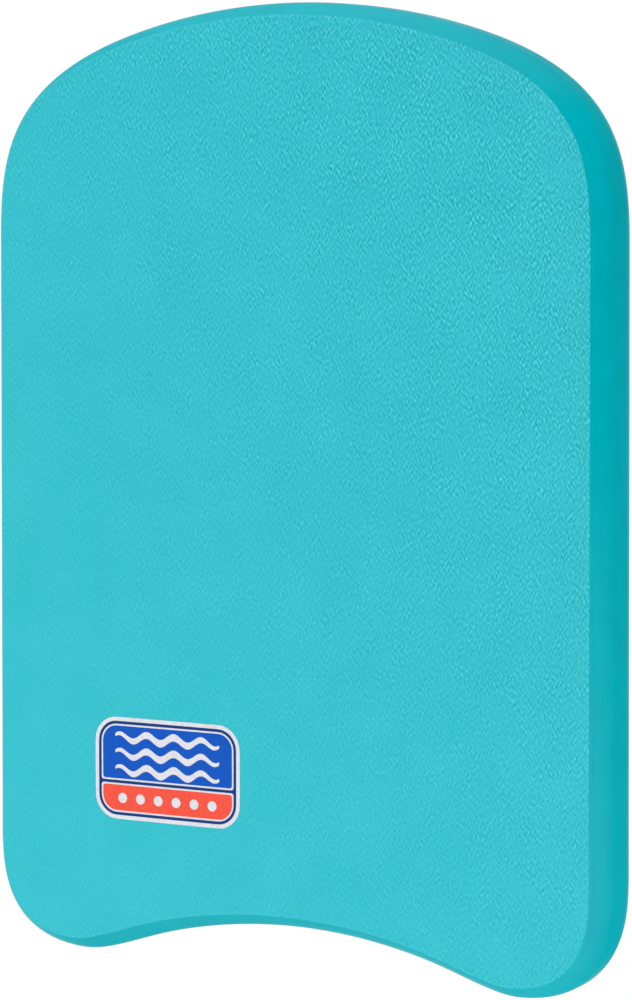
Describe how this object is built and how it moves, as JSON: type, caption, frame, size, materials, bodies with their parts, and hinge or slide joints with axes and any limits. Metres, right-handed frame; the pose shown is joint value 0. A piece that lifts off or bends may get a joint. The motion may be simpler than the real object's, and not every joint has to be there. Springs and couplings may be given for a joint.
{
  "type": "kickboard float",
  "caption": "Flat foam swimming kickboard with a rounded nose, a notched tail, a smooth bowed edge, grained faces and a small wave badge.",
  "frame": {"origin": "middle of the rear face, which the board lies on", "axes": "+Z out of the front face, which carries the badge; +Y to the rounded nose; +X to the board's right, seen from the front"},
  "size_m": [0.305, 0.425, 0.039],
  "materials": {
    "core_foam": "smooth ground closed-cell EVA foam, turquoise",
    "embossed_skin": "heat-embossed fine leather grain on EVA foam, lighter turquoise",
    "white_film": "satin white transfer film",
    "blue_ink": "satin blue ink film",
    "navy_ink": "satin navy ink film",
    "coral_ink": "satin coral ink film"
  },
  "bodies": {
    "root": {"foam_core": "core_foam", "front_skin": "embossed_skin", "rear_skin": "embossed_skin", "decal_white_base": "white_film", "decal_blue_ink": "blue_ink", "decal_navy_ink": "navy_ink", "decal_coral_ink": "coral_ink"}
  },
  "joints": []
}
